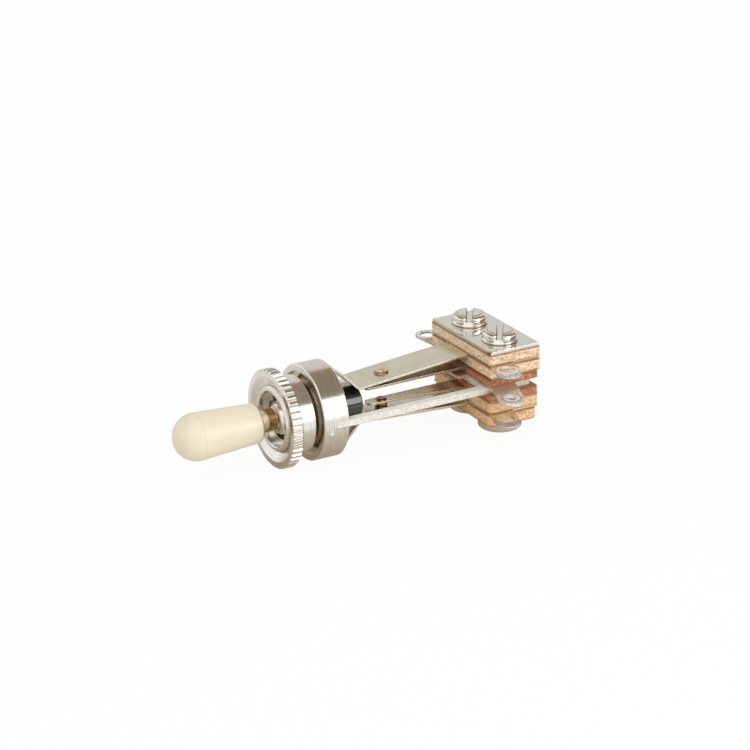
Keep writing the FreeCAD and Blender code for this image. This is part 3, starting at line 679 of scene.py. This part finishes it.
def dull_copper():
    """Rivet copper: a painted highlight on the crown of the upper rivet, painted shade below it, dark round
    the rim of the crown, and a painted highlight on the edges.
    """
    copper_shade = (0.30, 0.19, 0.11)
    copper_deep_shade = (0.2, 0.12, 0.06)
    crown_highlight_copper = (0.98, 0.80, 0.64)
    crown_highlight_dull = (0.78, 0.50, 0.33)
    edge_highlight_copper = (0.8, 0.5, 0.34)
    crown_rim_dark = (0.30, 0.15, 0.07)
    low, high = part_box("upper_outer_contact")
    work = Finish("contact copper", Metallic=1.0)
    edges = work.use(EDGES, Reach=0.12 * MM)
    clouds = work.use(CLOUDS, Cloud_scale=1500.0, Pit_scale=6000.0)["Clouds"]
    x, y, z = work.apart(work.place())
    crown = work.span(z, high.z - 1.1 * MM, high.z - 0.9 * MM)
    dark = work.coat(copper_shade, copper_deep_shade, clouds)
    bright = work.coat(crown_highlight_copper, crown_highlight_dull, clouds)
    # Painted highlight on the crown, painted shade elsewhere.
    tone = work.coat(dark, bright, crown)
    # Painted highlight on the edges.
    tone = work.coat(tone, edge_highlight_copper, edges["Mask"])
    radius = work.distance(work.minus(x, (low.x + high.x) / 2.0), work.minus(y, (low.y + high.y) / 2.0))
    tone = work.coat(tone, crown_rim_dark, work.span(radius, 1.05 * MM, 1.15 * MM, 0.0, 0.85), crown)
    return work.done(tone, work.span(clouds, 0.0, 1.0, 0.2, 0.36), clouds, 0.01 * MM, edges)


def plain_sleeve():
    """Dark fibre sleeve, matt, with a fine speckle."""
    work = Finish("sleeve fibre", IOR=1.5)
    speckle = work.noise(work.place(), 4000.0, 3.0)
    tone = work.coat((0.09, 0.08, 0.07), (0.17, 0.15, 0.13), work.span(speckle, 0.4, 0.7))
    return work.done(tone, work.span(speckle, 0.3, 0.7, 0.6, 0.8), speckle, 0.01 * MM)


FINISHES = {
    "plated_bushing": turned_plating("plated bushing", (0.80, 0.77, 0.72), 0.13, 0.003 * MM, recess_shade),
    "plated_nut": turned_plating("plated nut", (0.86, 0.84, 0.80), 0.13, 0.003 * MM, serration_shade),
    "pin_steel": turned_plating("ground pin", (0.62, 0.62, 0.62), 0.2, 0.002 * MM),
    "lever_steel": turned_plating("lever plating", (0.84, 0.81, 0.76), 0.12, 0.002 * MM, shank_painted_reflection),
    "cream_cap": moulded_cream(),
    "black_cam": turned_black(),
    # The frame has painted shade on its upright faces and along its edges.
    "frame_steel": cloudy_sheet(
        "frame plating", (1.0, 0.99, 0.96), 0.40, (0.74, 0.66, 0.50), 0.6,
        pale=0.7, edge=0.16 * MM, side=0.9, pit=2800.0, rim=0.72,
    ),
    # The tinned lug has painted shade along its edges.
    "tinned_lug": cloudy_sheet(
        "tinned lug", (0.98, 0.98, 0.96), 0.26, (0.50, 0.46, 0.40), 0.6,
        pale=0.45, depth=0.68, pit=2600.0, rim=0.42, painted_light_and_marks=lug_root_and_eye_rings,
    ),
    "leaf_alloy": strip_metal(
        "leaf alloy", (0.75, 0.71, 0.59), 0.2,
        across=(180.0, 6500.0, 6500.0), sweep=(45.0, 520.0, 520.0), warm=(0.70, 0.66, 0.53),
    ),
    "contact_copper": dull_copper(),
    "bright_plate": mirror_plating("clamp plate plating", (0.74, 0.73, 0.68), 0.07, 0.004, front_face_shade),
    "tan_board": sawn_board("tan board", (0.72, 0.45, 0.24), (0.92, 0.76, 0.55), (0.42, 0.18, 0.06)),
    "red_board": sawn_board("red brown board", (0.36, 0.09, 0.035), (0.60, 0.27, 0.13), (0.12, 0.02, 0.01)),
    "bright_screw": mirror_plating("screw plating", (0.78, 0.75, 0.69), 0.08, 0.003, head_shade),
    # The round nuts keep the default rim, a painted highlight along their edges.
    "round_nut_steel": cloudy_sheet(
        "round nut plating", (0.84, 0.82, 0.77), 0.24, (0.5, 0.43, 0.33), 0.4,
    ),
    "sleeve_plastic": plain_sleeve(),
}

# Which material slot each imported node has.
SLOT = {part["node"]: part["material_slot"] for part in frame["record"]["subparts"]}


def dress(piece, slot):
    """The piece gets one finish all over."""
    piece.data.materials.clear()
    piece.data.materials.append(FINISHES[slot])
    for face in piece.data.polygons:
        face.material_index = 0


def merged_copy(node):
    """A copy of a node's mesh as one skin, its loose triangles joined."""
    mesh = frame["nodes"][node].data.copy()
    skin = bmesh.new()
    skin.from_mesh(mesh)
    bmesh.ops.remove_doubles(skin, verts=skin.verts, dist=same_point)
    return mesh, skin


def cut_at(skin, point, normal, **options):
    """Cuts a skin at a plane, so that it has points there."""
    every = skin.verts[:] + skin.edges[:] + skin.faces[:]
    bmesh.ops.bisect_plane(skin, geom=every, dist=on_plane, plane_co=point, plane_no=normal, **options)


def new_piece(name, mesh, skin, crease=30.0):
    """Writes a skin to its mesh, smooth apart from its real edges, as a new object."""
    skin.to_mesh(mesh)
    skin.free()
    mesh.name = name
    if "custom_normal" in mesh.attributes:
        mesh.attributes.remove(mesh.attributes["custom_normal"])
    mesh.shade_smooth()
    mesh.set_sharp_from_angle(angle=math.radians(crease))
    piece = bpy.data.objects.new(name, mesh)
    scene.collection.objects.link(piece)
    return piece


def stand_in(piece, node):
    """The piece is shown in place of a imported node, in the node's own slot."""
    dress(piece, SLOT[node])
    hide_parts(node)


def bending_leaf(node, name, rivet):
    """An outer leaf cut at fine steps between its rivet and the place where it starts to bend."""
    rivet_x = sum(corner.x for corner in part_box(rivet)) / 2.0
    mesh, skin = merged_copy(node)
    for step in range(bend_steps + 1):
        place = rivet_x + (root_bend - rivet_x) * step / bend_steps
        cut_at(skin, (place, 0, 0), (1, 0, 0))
    leaf = new_piece(name, mesh, skin)
    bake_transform(leaf)
    stand_in(leaf, node)


def wide_mouth(node, name):
    """The bushing with its bore opened out into a counterbore at the mouth of the neck."""
    mesh, skin = merged_copy(node)
    step = neck_mouth + mouth_depth
    cut_at(skin, (step, 0, 0), (1, 0, 0))
    cut_at(skin, (step + 0.02 * MM, 0, 0), (1, 0, 0))
    rim = neck_mouth + 0.1 * MM
    chamfer_foot = neck_mouth + 0.2 * MM
    for corner in skin.verts:
        radius = math.hypot(corner.co.y, corner.co.z)
        if corner.co.x < step + 0.01 * MM and radius < bore_limit:
            wide = mouth_rim_radius if corner.co.x < rim else mouth_radius
            corner.co.y *= wide / radius
            corner.co.z *= wide / radius
            if rim < corner.co.x < step - 0.1 * MM:
                corner.co.x = chamfer_foot
    # Rings of points now lie on each other, and the faces between them fold flat in pairs: both go.
    bmesh.ops.remove_doubles(skin, verts=skin.verts, dist=same_point)
    bmesh.ops.dissolve_degenerate(skin, edges=skin.edges, dist=same_point)
    by_corners = {}
    for face in skin.faces:
        by_corners.setdefault(frozenset(corner.index for corner in face.verts), []).append(face)
    folded = [face for faces in by_corners.values() if len(faces) > 1 for face in faces]
    bmesh.ops.delete(skin, geom=folded, context="FACES")
    bushing = new_piece(name, mesh, skin)
    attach(bushing, "switch_body")
    stand_in(bushing, node)


def arc(middle, radius, first, last, steps):
    """Points of a round in a profile, from one angle to another in degrees."""
    points = []
    for step in range(steps + 1):
        turn = math.radians(first + (last - first) * step / steps)
        points.append((middle[0] + radius * math.cos(turn), middle[1] + radius * math.sin(turn)))
    return points


def turned_blank(name, profile, steps=96):
    """A closed mesh turned round the Z axis from (radius, height) points that start and end on it."""
    skin = bmesh.new()
    corners = [skin.verts.new((radius, 0.0, height)) for radius, height in profile]
    edges = [skin.edges.new(pair) for pair in zip(corners, corners[1:])]
    bmesh.ops.spin(
        skin, geom=corners + edges, cent=(0, 0, 0), axis=(0, 0, 1),
        angle=math.tau, steps=steps, use_merge=True,
    )
    bmesh.ops.remove_doubles(skin, verts=skin.verts, dist=same_point)
    bmesh.ops.recalc_face_normals(skin, faces=skin.faces)
    mesh = bpy.data.meshes.new(name)
    skin.to_mesh(mesh)
    skin.free()
    return mesh


def head_profile():
    """Half section of a screw head: flange, groove, rounded side and a flat top in a shallow dome."""
    flange = 3.3 * MM
    flange_round = 0.28 * MM
    side = 3.12 * MM
    side_round = 0.55 * MM
    shoulder = 1.80 * MM
    return [
        (0.0, 0.0), (flange - 0.08 * MM, 0.0),
        *arc((flange - flange_round, flange_round), flange_round, -60, 75, 8),
        (side - 0.10 * MM, 0.62 * MM), (side - 0.06 * MM, 0.72 * MM),
        *arc((side - side_round, shoulder - side_round), side_round, 0, 76, 10),
        (2.36 * MM, 1.93 * MM), (2.30 * MM, 1.915 * MM), (2.22 * MM, head_height), (0.0, head_height),
    ]


def finish_tree(work, geometry, given, result):
    """Makes what a geometry tree built real, with its finish, and sends it out."""
    real = work.add("GeometryNodeRealizeInstances", {"Geometry": geometry}).outputs[0]
    done = work.add("GeometryNodeSetMaterial", {"Geometry": real, "Material": given["Finish"]}).outputs[0]
    work.feed(result["Geometry"], done)


def setting_out_tree():
    """Node tree that slots a turned head and sets copies of it out in a row."""
    tree, work, given, result = new_tree(
        "GeometryNodeTree",
        "slotted heads in a row",
        [("Geometry", GEOMETRY), ("Height", FLOAT, head_height), ("Slot width", FLOAT, head_slot_width),
         ("Slot depth", FLOAT, head_slot_depth), ("Slot angle", FLOAT, head_slot_angle),
         ("Slot length", FLOAT, 8.0 * MM), ("First", VECTOR), ("Pitch", VECTOR), ("Finish", MATERIAL)],
        [("Geometry", GEOMETRY)],
    )
    size = work.together(x=given["Slot length"], y=given["Slot width"], z=given["Height"])
    middle = work.minus(work.times(given["Height"], 1.5), given["Slot depth"])
    cutter = work.add(
        "GeometryNodeTransform",
        {
            "Geometry": work.add("GeometryNodeMeshCube", {"Size": size}).outputs[0],
            "Translation": work.together(z=middle),
            "Rotation": work.together(z=given["Slot angle"]),
        },
    ).outputs[0]
    slotted = work.add("GeometryNodeMeshBoolean", operation="DIFFERENCE", solver="EXACT")
    work.feed(slotted.inputs["Mesh 1"], given["Geometry"])
    work.feed(slotted.inputs["Mesh 2"], cutter)
    row = work.add(
        "GeometryNodeMeshLine",
        {"Count": 2, "Start Location": given["First"], "Offset": given["Pitch"]},
        mode="OFFSET",
    ).outputs[0]
    placed = {"Points": row, "Instance": slotted.outputs[0]}
    copies = work.add("GeometryNodeInstanceOnPoints", placed).outputs[0]
    finish_tree(work, copies, given, result)
    return tree


def ridge_tree():
    """Node tree of a screw thread: a small ridge wound round the X axis."""
    tree, work, given, result = new_tree(
        "GeometryNodeTree",
        "thread ridge",
        [("Radius", FLOAT, neck_radius), ("Turns", FLOAT, 1.5), ("Length", FLOAT, thread_pitch),
         ("Start", FLOAT, 0.0), ("Ridge", FLOAT, thread_ridge), ("Finish", MATERIAL)],
        [("Geometry", GEOMETRY)],
    )
    spiral = work.add(
        "GeometryNodeCurveSpiral",
        {"Resolution": 96, "Rotations": given["Turns"], "Start Radius": given["Radius"],
         "End Radius": given["Radius"], "Height": given["Length"]},
    ).outputs[0]
    section = {"Resolution": 6, "Radius": given["Ridge"]}
    rib = work.add("GeometryNodeCurvePrimitiveCircle", section, mode="RADIUS")
    tube = work.add(
        "GeometryNodeCurveToMesh",
        {"Curve": spiral, "Profile Curve": rib.outputs[0], "Fill Caps": True},
    ).outputs[0]
    laid = work.add(
        "GeometryNodeTransform",
        {
            "Geometry": tube,
            "Translation": work.together(x=given["Start"]),
            "Rotation": (0.0, math.radians(90), 0.0),
        },
    ).outputs[0]
    finish_tree(work, laid, given, result)
    return tree


def made_by(tree, name, values, blank=None):
    """A plain mesh object made once by a node tree with these values, from a blank if it needs one."""
    piece = bpy.data.objects.new(name, blank or bpy.data.meshes.new(name))
    scene.collection.objects.link(piece)
    maker = piece.modifiers.new("maker", "NODES")
    maker.node_group = tree
    for item in tree.interface.items_tree:
        if item.item_type == "SOCKET" and item.in_out == "INPUT" and item.name in values:
            maker[item.identifier] = values[item.name]
    bpy.context.view_layer.update()
    graph = bpy.context.evaluated_depsgraph_get()
    mesh = bpy.data.meshes.new_from_object(piece.evaluated_get(graph))
    piece.modifiers.remove(maker)
    piece.data = mesh
    mesh.name = name
    mesh.shade_smooth()
    return piece


def clamp_screws(node, name):
    """Both clamp screws: the shanks as packed, under heads rounded the way the photograph shows."""
    mesh, skin = merged_copy(node)
    cut_at(skin, (0, 0, stack_top - 0.01 * MM), (0, 0, 1), clear_outer=True)
    bmesh.ops.remove_doubles(skin, verts=skin.verts, dist=same_point)
    bmesh.ops.holes_fill(skin, edges=[edge for edge in skin.edges if edge.is_boundary], sides=0)
    values = {
        "First": (screw_along, screws_low.y + screw_flange, stack_top),
        "Pitch": (0.0, screw_spacing, 0.0),
        "Finish": FINISHES[SLOT[node]],
    }
    blank = turned_blank("screw_head_blank", head_profile())
    heads = made_by(setting_out_tree(), "screw_heads", values, blank)
    skin.from_mesh(heads.data)
    bpy.data.objects.remove(heads)
    bmesh.ops.remove_doubles(skin, verts=skin.verts, dist=same_joint)
    bmesh.ops.recalc_face_normals(skin, faces=skin.faces)
    screws = new_piece(name, mesh, skin, crease=40.0)
    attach(screws, "switch_body")
    stand_in(screws, node)


def domed_rivet(node, name, body, outward):
    """A contact rivet whose outer head is raised into a shallow dome."""
    dome_rise = 0.3 * MM
    dome_share = 0.97
    dome_steps = 9
    sunk = -0.03 * MM
    mesh, skin = merged_copy(node)
    facing = [face for face in skin.faces if face.normal.z * outward > 0.9]
    flat = max(facing, key=lambda face: face.calc_area())
    normal = flat.normal.copy()
    level = flat.calc_center_median().dot(normal)

    def on_top(face):
        level_here = face.calc_center_median().dot(normal)
        return face.normal.dot(normal) > 0.999 and abs(level_here - level) < 0.01 * MM

    crown = [face for face in facing if on_top(face)]
    area = sum(face.calc_area() for face in crown)
    centre = sum((face.calc_center_median() * face.calc_area() for face in crown), Vector()) / area
    reach = dome_share * max((corner.co - centre).length for face in crown for corner in face.verts)
    ball = (reach ** 2 + dome_rise ** 2) / (2.0 * dome_rise)
    spread = math.asin(reach / ball)
    profile = [(0.0, sunk), (reach, sunk)]
    for step in range(dome_steps + 1):
        turn = spread * (1.0 - step / dome_steps)
        profile.append((ball * math.sin(turn), dome_rise - ball + ball * math.cos(turn)))
    dome = turned_blank("rivet_dome", profile, steps=48)
    turned = Vector((0.0, 0.0, 1.0)).rotation_difference(normal).to_matrix().to_4x4()
    dome.transform(Matrix.Translation(centre) @ turned)
    skin.from_mesh(dome)
    rivet = new_piece(name, mesh, skin, crease=35.0)
    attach(rivet, body)
    stand_in(rivet, node)


def bare_thread():
    """The turns of thread that show between the nut and the disc."""
    clear_of_nut = 0.05 * MM
    sunk = 0.04 * MM
    first = nut_high.x + clear_of_nut
    length = thread_end - first
    values = {
        "Radius": neck_radius - sunk,
        "Turns": length / thread_pitch,
        "Length": length,
        "Start": first,
        "Ridge": thread_ridge,
        "Finish": FINISHES["plated_bushing"],
    }
    ridge = made_by(ridge_tree(), "neck_thread", values)
    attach(ridge, "switch_body")


def studio_floor():
    """Pale floor that the switch lies on. It looks white from the camera and keeps the shadow; in
    reflections it carries a painted shadow beneath the switch.
    """
    reach = 3.0
    off_white = (0.95, 0.94, 0.92)
    seen_share = 0.94
    mirrored_share = 0.85
    mesh = bpy.data.meshes.new("floor")
    corners = [(-reach, -reach), (reach, -reach), (reach, reach), (-reach, reach)]
    mesh.from_pydata([(x, y, floor_height) for x, y in corners], [], [(0, 1, 2, 3)])
    floor = bpy.data.objects.new("floor", mesh)
    scene.collection.objects.link(floor)
    material = bpy.data.materials.new("white floor")
    material.use_nodes = True
    material.node_tree.nodes.clear()
    work = Wiring(material.node_tree)
    path = work.add("ShaderNodeLightPath").outputs
    matt = work.add("ShaderNodeBsdfDiffuse", {"Color": off_white}).outputs[0]
    across = work.apart(work.place())[1]
    # Painted shadow: to glossy rays the floor is brown and dark beneath the switch, lighter behind it and
    # white in front.
    painted_shadow_in_reflections = work.ramp(
        work.span(across, -60 * MM, 60 * MM),
        [
            (0.0, WHITE),
            (0.29, WHITE),
            (0.34, (0.74, 0.68, 0.57)),
            (0.42, (0.54, 0.47, 0.35)),
            (0.50, (0.34, 0.27, 0.18)),
            (0.58, (0.55, 0.49, 0.38)),
            (0.66, (0.74, 0.70, 0.61)),
            (0.84, (0.84, 0.81, 0.75)),
            (1.0, (0.84, 0.82, 0.77)),
        ],
    )
    glossy = path["Is Glossy Ray"]
    pale = work.coat(WHITE, painted_shadow_in_reflections, glossy)
    white = work.add("ShaderNodeEmission", {"Color": pale, "Strength": 1.0}).outputs[0]
    seen = work.maths("MAXIMUM", path["Is Camera Ray"], path["Is Transmission Ray"])
    share = work.maths("MAXIMUM", work.times(seen, seen_share), work.times(glossy, mirrored_share))
    both = work.add("ShaderNodeMixShader", {0: share, 1: matt, 2: white}).outputs[0]
    work.add("ShaderNodeOutputMaterial", {"Surface": both})
    mesh.materials.append(material)


def studio_world():
    """White all round for the camera, plain soft light, and panels and a dark ceiling in reflections.

    The panels are set out by angle from straight up: across the switch behind, from the top in front.
    """
    plain_grey = (0.62, 0.62, 0.62)
    world = bpy.data.worlds.new("studio")
    scene.world = world
    world.use_nodes = True
    world.node_tree.nodes.clear()
    work = Wiring(world.node_tree)
    x, y, z = work.apart(work.add("ShaderNodeTexCoord").outputs["Generated"])
    across = work.maths("ARCTAN2", work.times(y, -1.0), z)
    from_top = work.minus(math.pi / 2.0, work.maths("ARCSINE", z))
    front = work.span(x, 0.25, -0.05)
    angle = work.plus(work.times(from_top, front), work.times(across, work.minus(1.0, front)))

    def at(degrees):
        return (degrees + 180.0) / 360.0

    panels = work.ramp(
        work.span(angle, -math.pi, math.pi),
        [
            (at(-170), (0.55, 0.52, 0.47)),
            (at(-100), (0.72, 0.71, 0.68)),
            (at(-62), (0.76, 0.75, 0.72)),
            (at(-37), (0.72, 0.70, 0.67)),
            (at(-29), (0.40, 0.24, 0.15)),
            (at(-14), (0.32, 0.25, 0.18)),
            (at(30), (0.26, 0.23, 0.165)),
            (at(46), (0.30, 0.27, 0.20)),
            (at(50), WHITE),
            (at(118), WHITE),
            (at(135), (0.6, 0.57, 0.52)),
            (at(170), (0.5, 0.46, 0.4)),
        ],
    )
    path = work.add("ShaderNodeLightPath").outputs
    colour = work.coat(plain_grey, panels, path["Is Glossy Ray"])
    colour = work.coat(colour, WHITE, path["Is Camera Ray"])
    sky = work.add("ShaderNodeBackground", {"Color": colour, "Strength": 1.0}).outputs[0]
    work.add("ShaderNodeOutputWorld", {"Surface": sky})


def soft_box(name, place, target, width, height, power):
    """A soft rectangular lamp that points at a place."""
    lamp = bpy.data.lights.new(name, "AREA")
    lamp.shape = "RECTANGLE"
    lamp.size = width
    lamp.size_y = height
    lamp.energy = power
    box = bpy.data.objects.new(name, lamp)
    scene.collection.objects.link(box)
    box.location = place
    box.rotation_mode = "QUATERNION"
    box.rotation_quaternion = (Vector(target) - Vector(place)).to_track_quat("-Z", "Y")


def studio_lamps():
    """A big lamp overhead and a smaller one low in front, on the near side."""
    middle = (12 * MM, 0.0, 0.0)
    soft_box("top box", (-0.25, -0.3, 0.75), middle, 0.8, 0.8, 2.6)
    soft_box("front box", (0.277, -0.508, 0.175), middle, 0.34, 0.41, 1.0)


# The photograph's view: where the lens stands, how it is turned, and how much it sees.
view_azimuth = math.radians(-28.82)
view_elevation = math.radians(22.47)
view_roll = math.radians(-1.12)
view_target = Vector((13.78 * MM, 0.0, 0.0))
view_distance = 438.8 * MM
focal_pixels = 2457.9
image_pixels = 750.0
centre_column = 370.0
centre_row = 396.6
sensor_width = 36.0


def photo_camera():
    """The camera of the photograph, from the values above."""
    back = Vector((
        math.sin(view_azimuth) * math.cos(view_elevation),
        -math.cos(view_azimuth) * math.cos(view_elevation),
        math.sin(view_elevation),
    ))
    level = Vector((math.cos(view_azimuth), math.sin(view_azimuth), 0.0))
    upward = back.cross(level)
    right = math.cos(view_roll) * level + math.sin(view_roll) * upward
    up = -math.sin(view_roll) * level + math.cos(view_roll) * upward
    lens = bpy.data.cameras.new("camera")
    lens.sensor_width = sensor_width
    lens.lens = focal_pixels / image_pixels * sensor_width
    lens.shift_x = (image_pixels / 2.0 - centre_column) / image_pixels
    lens.shift_y = (centre_row - image_pixels / 2.0) / image_pixels
    lens.clip_start = 10 * MM
    camera = bpy.data.objects.new("camera", lens)
    scene.collection.objects.link(camera)
    turn = Matrix((right, up, back)).transposed()
    camera.matrix_world = Matrix.Translation(view_target + back * view_distance) @ turn.to_4x4()
    scene.camera = camera


for node, piece in frame["nodes"].items():
    dress(piece, SLOT[node])

bending_leaf("upper_outer_leaf", "upper_outer_leaf_bent", "upper_outer_contact")
bending_leaf("lower_outer_leaf", "lower_outer_leaf_bent", "lower_outer_contact")
domed_rivet("upper_outer_contact", "upper_rivet_domed", "upper_contact", 1.0)
domed_rivet("lower_outer_contact", "lower_rivet_domed", "lower_contact", -1.0)
bare_thread()
wide_mouth("bushing_body", "bushing_counterbored")
clamp_screws("clamp_screws", "clamp_screws_rounded")

studio_floor()
studio_world()
studio_lamps()
photo_camera()
scene.view_settings.view_transform = "Standard"
